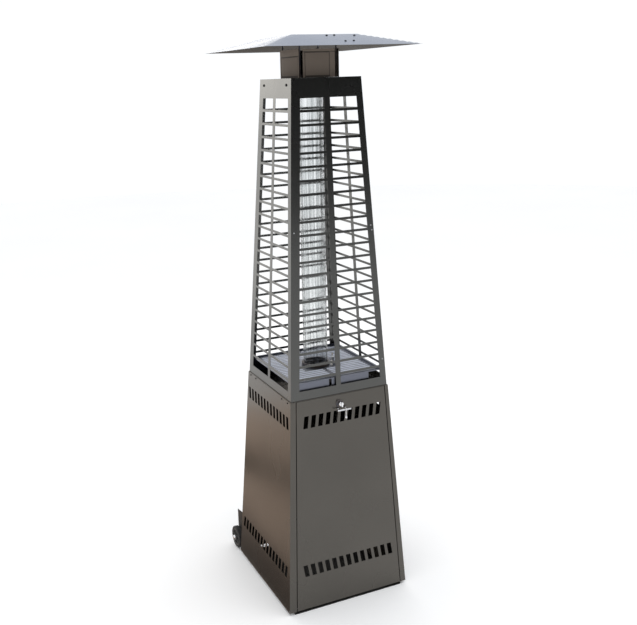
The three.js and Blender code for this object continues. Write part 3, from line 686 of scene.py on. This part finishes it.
def add_wheels():
    centre = middle("wheel_axle")
    for word, hand in HANDS:
        place = Matrix.Translation(centre) @ Matrix.Rotation(hand * math.pi / 2, 4, "Y")
        add_tyre(word, place)
        add_hub(word, place)
        bm = bmesh.new()
        cap = [(0, 282), (6.4, 282), (6.4, 279.6), (11, 279.6), (11, 281.6), (9, 286.5), (5, 288.4), (0, 289)]
        lathe(bm, rounded(cap, 0.8), place, 48)
        piece(f"axle_cap_{word}_pressed", bm, "chrome_trim", "frame", f"axle_cap_{word}")
    bm = bmesh.new()
    rod = [(0, -281), (5.4, -281), (6, -280), (6, 280), (5.4, 281), (0, 281)]
    lathe(bm, rod, Matrix.Translation(centre) @ Matrix.Rotation(math.pi / 2, 4, "Y"), 40)
    piece("wheel_axle_rod", bm, "plated_steel", "frame", "wheel_axle")


def add_tyre(word, place):
    """A tyre with five ribs round its tread."""
    bm = bmesh.new()
    tread = []
    for x in (258, 261.5, 265, 268.5, 272):
        tread += [(50, x - 1.1), (50, x + 1.1), (48.9, x + 1.3), (48.9, x + 2.2)]
    outline = [(40, 256), (41.5, 255), (44, 254), (47, 254.5), (49, 256), *tread[:-2],
               (49, 274), (47, 275.5), (44, 276), (41.5, 275), (40, 274)]
    lathe(bm, outline, place, 72, closed=True)
    piece(f"tyre_{word}_ribbed", bm, "wheel_rubber", f"{word}_wheel", f"tyre_{word}")


def add_hub(word, place):
    """A moulded hub: rim, dished web with five ribs, and a boss round the axle."""
    bm = bmesh.new()
    rim = [(33, 255.2), (39.7, 255.2), (39.7, 274.8), (36, 275.2), (33, 274.4)]
    lathe(bm, rounded_loop(rim, 0.9), place, 72, closed=True)
    web = [(12, 261), (34, 262), (34, 268), (12, 268.5)]
    lathe(bm, web, place, 72, closed=True)
    boss = [(6.4, 252.6), (14, 252.6), (14, 279), (6.4, 279)]
    lathe(bm, rounded_loop(boss, 1.0), place, 48, closed=True)
    on_web = Matrix.Translation((23.5 * MM, 0, 269.5 * MM))
    for i in range(5):
        turn = Matrix.Rotation(2 * math.pi * i / 5, 4, "Z")
        block(bm, (21, 4.5, 7), place @ turn @ on_web, 1.0)
    piece(f"wheel_{word}_moulded", bm, "wheel_plastic", f"{word}_wheel", f"wheel_{word}")


def add_bracket_bolts():
    from_middle, plate = 0.232, 2.7 * MM
    for word, hand in HANDS:
        for i, z in enumerate((0.060, 0.148)):
            place = on_face(HOUSING, REAR, -hand * from_middle, z, plate)
            bm = bmesh.new()
            lathe(bm, rounded([(0, 0), (6.5, 0), (6.5, 1), (0, 1)], 0.3), place, 32)
            prism(bm, hexagon(8), 0.9, 4.6, place, 0.5)
            piece(f"bracket_bolt_{word}_{i + 1}", bm, "plated_steel", "frame")


# ---------------------------------------------------------------- controls and gas path

CONTROL_Z = 0.700
IGNITER_U = 0.070


def add_control_knob():
    place = on_face(HOUSING, REAR, 0, CONTROL_Z)

    def fluted(angle):
        return 1 + 0.022 * math.cos(18 * angle)

    bm = bmesh.new()
    skirt = [(4.4, 12.6), (4.4, 4), (22.4, 4), (22.6, 8.6), (21.2, 9.4)]
    lathe(bm, rounded([(0, 12.6), *skirt, (0, 9.4)], 0.7), place, 144)
    grip = [(0, 9), (20.2, 9), (18.6, 20.6), (17, 22.6), (0, 23)]
    lathe(bm, rounded(grip, 1.2), place, 144, ripple=fluted)
    block(bm, (7, 36, 9), place @ Matrix.Translation((0, 0, 24.5 * MM)), 1.8)
    piece("control_knob_fluted", bm, "control_plastic", "knob", "control_knob")
    bm = bmesh.new()
    block(bm, (1.4, 12, 0.8), place @ Matrix.Translation((0, 11 * MM, 29.1 * MM)), 0.2)
    piece("knob_pointer", bm, "electrode_ceramic", "knob")
    bm = bmesh.new()
    stem = [(0, -58), (3.4, -58), (4, -57), (4, 11.4), (3.4, 12.2), (0, 12.2)]
    lathe(bm, stem, place, 32)
    piece("valve_stem_turned", bm, "plated_steel", "stem", "valve_stem")


def add_igniter():
    place = on_face(HOUSING, REAR, IGNITER_U, CONTROL_Z)
    bm = bmesh.new()
    barrel = [(0, -62), (6, -62), (9, -58), (9, 0.4)]
    flange = [(13, 0.4), (13, 2.4), (12.2, 3.2)]
    bore = [(6.4, 3.2), (6.4, -20), (0, -20)]
    lathe(bm, rounded(barrel + flange + bore, 0.7), place, 56)
    for i in range(6):
        groove = [(9.5, -12 - 5 * i), (9.5, -14 - 5 * i), (8.6, -14 - 5 * i), (8.6, -12 - 5 * i)]
        lathe(bm, groove, place, 56, closed=True)
    piece("igniter_barrel", bm, "control_plastic", "frame", "igniter_body")
    bm = bmesh.new()
    button = [(0, -8), (6, -8), (6, 8), (5, 9.4), (2, 9.1), (0, 8.9)]
    lathe(bm, rounded(button, 1.0), place, 48)
    piece("igniter_button_domed", bm, "control_plastic", "igniter", "igniter_button")


def add_gas_inlet():
    below, behind = 67.3 * MM, 52 * MM
    place = on_face(HOUSING, REAR, 0, CONTROL_Z) @ Matrix.Translation((0, -below, -behind))
    place = place @ Matrix.Rotation(-math.pi / 2, 4, "X")
    bm = bmesh.new()
    barbs = [(0, 0), (3.2, 0)]
    for i in range(4):
        barbs += [(5.4, 3.5 + 5 * i), (5.4, 4.5 + 5 * i), (4.3, 5 + 5 * i)]
    barbs += [(4.5, 31), (7, 31), (7, 42), (0, 42)]
    lathe(bm, barbs, place, 40)
    prism(bm, hexagon(18.6), 30, 40, place, 0.8)
    piece("gas_hose_nozzle", bm, "brass_fittings", "frame", "gas_inlet")


def add_burner_pipe():
    """The pipe from the valve up to the burner, with a union nut at each end."""
    rise = [(0, 180.7, 725.8), (0, 180, 762), (0, 150, 812)]
    run = [(0, 70, 836), (0, 12, 856), (0, 0, 886), (0, 0, 916)]
    bm = bmesh.new()
    sweep(bm, [Vector(point) * MM for point in rise + run], 5.6 * MM, 24)
    prism(bm, hexagon(17), 886, 900, UPRIGHT, 1.0)
    prism(bm, hexagon(17), 727, 740, Matrix.Translation((0, 180.6 * MM, 0)), 1.0)
    piece("burner_feed_pipe", bm, "plated_steel", "frame", "burner_pipe")


# ---------------------------------------------------------------- burner


def add_burner():
    low, high = (corner.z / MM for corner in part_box("burner_cup"))
    bm = bmesh.new()
    foot = [(22, low), (72, low), (72, low + 2), (44, low + 2)]
    wall = [(44, high), (42, high), (42, low + 4), (22, low + 4)]
    lathe(bm, rounded_loop(foot + wall, 1.0), UPRIGHT, 72, closed=True)
    piece("burner_cup_spun", bm, "dark_steel", "frame", "burner_cup")
    add_flame_cap()
    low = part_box("glass_seat")[0].z / MM
    bm = bmesh.new()
    ring = [(47, low), (58, low), (58, low + 10), (56, low + 12)]
    ledge = [(50.4, low + 12), (50.4, low + 3), (47, low + 3)]
    lathe(bm, rounded_loop(ring + ledge, 0.9), UPRIGHT, 96, closed=True)
    piece("glass_seat_ring", bm, "dark_steel", "frame", "glass_seat")
    add_pilot_group()
    add_louvre_hoods()


def add_flame_cap():
    """A domed cap of woven wire over a solid rim."""
    low, high = (corner.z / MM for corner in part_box("burner_mesh"))
    bm = bmesh.new()
    fall = ((0, 0.6), (5, 0.8), (10, 1.2), (15, 1.9), (20, 2.9), (25, 4.2), (30, 5.9), (35, 8.0), (40, 10.8))
    lathe(bm, [(r, high - f) for r, f in fall], UPRIGHT, 56)
    bmesh.ops.remove_doubles(bm, verts=bm.verts[:], dist=1e-7)
    bmesh.ops.wireframe(bm, faces=bm.faces[:], thickness=0.9 * MM, use_replace=True, use_even_offset=True)
    rim = [(39.5, low), (41.6, low), (41.6, low + 3), (39.5, low + 3)]
    lathe(bm, rounded_loop(rim, 0.4), UPRIGHT, 56, closed=True)
    piece("flame_cap_wire", bm, "dark_steel", "frame", "burner_mesh")


def add_louvre_hoods():
    """A pressed hood over each slot of the tray, open towards the rear."""
    tray_rim = 6 * MM
    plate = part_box("burner_tray")[1].z - tray_rim
    along_x = Matrix(((0, 0, 1, 0), (1, 0, 0, 0), (0, 1, 0, 0), (0, 0, 0, 1)))
    inside = [(-3.4, -0.4), (-2.4, 0.4), (0.0, 1.1), (3.3, 1.6)]
    outside = [(3.1, 2.2), (-0.3, 1.8), (-2.7, 1.1), (-4.0, 0.3), (-4.0, -0.4)]
    # Each row has two slots, from inner or, beside the burner, from ring out to outer.
    rows, pitch, outer, inner, ring = 9, 19, 176, 10, 84
    bm = bmesh.new()
    for row in range(-rows, rows):
        y = (row + 0.5) * pitch
        start = ring if abs(y) < ring - pitch / 2 else inner
        place = Matrix.Translation((0, y * MM, plate)) @ along_x
        for low, high in ((start, outer), (-outer, -start)):
            prism(bm, inside + outside, low - 1, high + 1, place, 0.25)
    # The hoods take the lighter copy of the tray's sheet: painted light.
    piece("louvre_hoods", bm, "burner_tray_sheet", "frame", material=LOUVRE_PAINTED_LIGHT)


def add_pilot_group():
    """The pilot burner, the thermocouple and the electrode, which stand side by side on the tray."""
    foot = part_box("pilot_burner")[0].z

    def stand(node):
        centre = middle(node)
        return Matrix.Translation((centre.x, centre.y, foot))

    bm = bmesh.new()
    pilot = [(0, 0), (6, 0), (6, 18), (7.5, 20), (7.5, 30), (4, 34), (2.2, 34), (2.2, 28), (0, 28)]
    lathe(bm, rounded(pilot, 0.6), stand("pilot_burner"), 36)
    piece("pilot_burner_hood", bm, "plated_steel", "frame", "pilot_burner")
    bm = bmesh.new()
    tip = [(0, 0), (3.4, 0), (3.4, 6), (1.7, 8), (1.7, 37), (1.1, 39.4), (0, 40)]
    lathe(bm, rounded(tip, 0.5), stand("thermocouple"), 28)
    piece("thermocouple_tip", bm, "brass_fittings", "frame", "thermocouple")
    place = stand("ignition_electrode")
    bm = bmesh.new()
    insulator = [(0, 0), (3.6, 0), (3.6, 4)]
    for z in (4, 8, 12, 16):
        insulator += [(3.0, z + 1), (3.6, z + 2.5), (3.6, z + 3.5)]
    insulator += [(2.6, 22.4), (0, 22.4)]
    lathe(bm, rounded(insulator, 0.4), place, 28)
    piece("electrode_insulator", bm, "electrode_ceramic", "frame", "ignition_electrode")
    bend = ((0, 0, 21), (0, 0, 29), (2, 2.6, 33), (5, 7, 35))
    wire = [place.translation + Vector(point) * MM for point in bend]
    bm = bmesh.new()
    sweep(bm, wire, 0.9 * MM, 12)
    piece("electrode_wire", bm, "plated_steel", "frame")


# ---------------------------------------------------------------- glass tube, neck and studs


def add_glass_tube():
    """The tube and its collar. An extra ring near each end keeps the round lips out of the wall's shading."""
    low, high = (corner.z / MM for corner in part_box("glass_tube"))
    inner, outer, lip = 47.5, 50, 3
    outside = [(outer, low), (outer, low + lip), (outer, high - lip), (outer, high)]
    inside = [(inner, high), (inner, high - lip), (inner, low + lip)]
    bm = bmesh.new()
    lathe(bm, rounded_loop([(inner, low), *outside, *inside], 0.9), UPRIGHT, 160, closed=True)
    piece("flame_tube_clear", bm, "flame_glass", "frame", "glass_tube")
    bm = bmesh.new()
    brim, top = 2118.4, 2140
    collar = [(50.4, brim), (64, brim), (64, brim + 1.6), (52, brim + 1.6), (52, top), (50.4, top)]
    lathe(bm, rounded_loop(collar, 0.5), UPRIGHT, 96, closed=True)
    piece("tube_collar_spun", bm, "dark_steel", "frame", "tube_collar")


def add_studs():
    """Threaded rods with a nut and washer at each end."""
    for corner in ("front_left", "front_right", "rear_right", "rear_left"):
        node = f"reflector_stud_{corner}"
        low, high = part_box(node)
        centre = middle(node)
        height = (high.z - low.z) / MM
        place = Matrix.Translation((centre.x, centre.y, low.z))
        bm = bmesh.new()
        outline = [(0, 0), (3.0, 0)]
        pitch = 1.6
        for i in range(int(height / pitch) - 1):
            outline += [(3.5, pitch * (i + 0.5)), (3.05, pitch * (i + 1))]
        outline += [(3.0, height), (0, height)]
        lathe(bm, outline, place, 24)
        prism(bm, hexagon(10.4), 2, 8, place, 0.6)
        prism(bm, hexagon(10.4), height - 7, height - 1, place, 0.6)
        for z in (8.0, height - 8.4):
            lathe(bm, [(3.4, z), (7.5, z), (7.5, z + 1.2), (3.4, z + 1.2)], place, 32, closed=True)
        piece(f"{node}_threaded", bm, "dark_steel", "frame", node)


def add_neck_plates():
    """The four plates of the neck, each over its CAD plate."""
    for word, side in (("front", FRONT), ("rear", REAR), ("left", LEFT), ("right", RIGHT)):
        low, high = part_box(f"neck_{word}")
        half = (high.x - low.x) / 2 if word in ("front", "rear") else (high.y - low.y) / 2
        neck_plate(word, side, half, low.z, high.z)


def neck_plate(word, side, half, foot, top):
    """A backing sheet painted near-black as painted shade, which shows in the grooves between two hems, a panel
    and a head strip.
    """
    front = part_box("neck_front")[0].y
    facing = Matrix.Rotation(side, 4, "Z") @ Matrix.Translation((0, front, 0))
    place = facing @ Matrix.Rotation(math.pi / 2, 4, "X")
    h, z0, z1 = half / MM, foot / MM, top / MM
    sheet, hem, groove = 1.5, 8, 2.4
    on_the_side = side in (LEFT, RIGHT)
    head = 27 if on_the_side else 11
    right_hem = hem if on_the_side else 22
    bm = bmesh.new()
    prism(bm, rectangle(-h, h, z0, z1), -sheet, -0.5, place, 0.2)
    # The backing sheet takes the second material: painted shade in the grooves.
    for face in bm.faces:
        face.material_index = 1
    raised = (
        (-h, -h + hem, z0, z1 - head),
        (h - right_hem, h, z0, z1 - head),
        (-h + hem + groove, h - right_hem - groove, z0 + hem, z1 - head - groove),
        (-h, h, z1 - head + groove, z1),
    )
    for strip in raised:
        prism(bm, rectangle(*strip), -1.0, 0, place, 0.3)
    foot_half = min(h, 58)
    prism(bm, rectangle(-foot_half, foot_half, z0, z0 + sheet), -14, -1.2, place, 0.25)
    piece(f"neck_{word}_pressed", bm, "neck_sheet", "frame", f"neck_{word}", second=PAINTED_SHADE_SHEET)


add_latch()
add_pull()
add_pendant()
add_hinge_pins()
add_wheels()
add_bracket_bolts()
add_control_knob()
add_igniter()
add_gas_inlet()
add_burner_pipe()
add_burner()
add_glass_tube()
add_studs()
add_neck_plates()
add_screws()
add_reflector()
add_reflector_screws()

# ---------------------------------------------------------------- floor and light

FLOOR_RADIUS = 14


def add_floor():
    bm = bmesh.new()
    bmesh.ops.create_circle(bm, cap_ends=True, radius=FLOOR_RADIUS, segments=96)
    mesh = bpy.data.meshes.new("floor")
    bm.to_mesh(mesh)
    bm.free()
    mesh.materials.append(floor_material())
    floor = bpy.data.objects.new("floor", mesh)
    floor.location.z = cad_box[0][2]
    bpy.context.scene.collection.objects.link(floor)


def area_light(name, place, target, size, power, colour):
    """A softbox at place that shines at target."""
    data = bpy.data.lights.new(name, "AREA")
    data.shape = "RECTANGLE"
    data.size, data.size_y = size
    data.energy = power
    data.color = colour
    lamp = bpy.data.objects.new(name, data)
    lamp.location = place
    lamp.rotation_euler = (Vector(target) - Vector(place)).to_track_quat("-Z", "Y").to_euler()
    lamp.visible_camera = False
    bpy.context.scene.collection.objects.link(lamp)


def flag(name, place, size, turn, colour):
    """A board that only shows in reflections, as photographers put beside bright metal."""
    bm = bmesh.new()
    bmesh.ops.create_grid(bm, x_segments=1, y_segments=1, size=0.5)
    bmesh.ops.scale(bm, vec=(*size, 1), verts=bm.verts[:])
    mesh = bpy.data.meshes.new(name)
    bm.to_mesh(mesh)
    bm.free()
    mesh.materials.append(moulded(f"{name}_cloth", colour, 0.9, 300, 0.1))
    board = bpy.data.objects.new(name, mesh)
    board.location = place
    board.rotation_euler = turn
    for ray in ("camera", "diffuse", "transmission", "volume_scatter", "shadow"):
        setattr(board, f"visible_{ray}", False)
    bpy.context.scene.collection.objects.link(board)


def add_light():
    world = bpy.data.worlds.new("studio")
    world.use_nodes = True
    background = world.node_tree.nodes["Background"]
    background.inputs["Color"].default_value = (0.96, 0.975, 1.0, 1)
    background.inputs["Strength"].default_value = 1.05
    bpy.context.scene.world = world
    area_light("back_left_softbox", (-1.9, 4.1, 2.6), (0, 0, 1.9), (2.0, 1.3), 17, (1.0, 0.95, 0.87))
    area_light("back_left_low", (-2.0, 4.1, 1.05), (0, 0, 1.3), (2.0, 1.6), 7.5, (1.0, 0.96, 0.89))
    area_light("back_strip", (1.3, 4.6, 2.85), (0, 0, 2.2), (2.2, 0.7), 12, (1.0, 0.95, 0.88))
    area_light("top_softbox", (0.5, -1.0, 5.0), (0, 0, 1.0), (3.0, 3.0), 40, (0.95, 0.97, 1.0))
    flag("front_flag", (2.4, -6.0, 3.6), (9, 5.0), (math.pi / 2, 0, 0), (0.015, 0.016, 0.016))
    flag("left_floor_board", (-1.28, 0.75, 0.004), (2.0, 2.9), (0, 0, 0), (0.84, 0.64, 0.50))
    flag("left_floor_band", (-0.80, 1.08, 0.008), (1.2, 0.26), (0, 0, 1.09), (0.08, 0.060, 0.045))
    flag("left_foot_band", (-0.36, 0.2, 0.008), (0.16, 1.3), (0, 0, 0), (0.24, 0.19, 0.16))


add_floor()
add_light()
bpy.context.scene.view_settings.view_transform = "Standard"
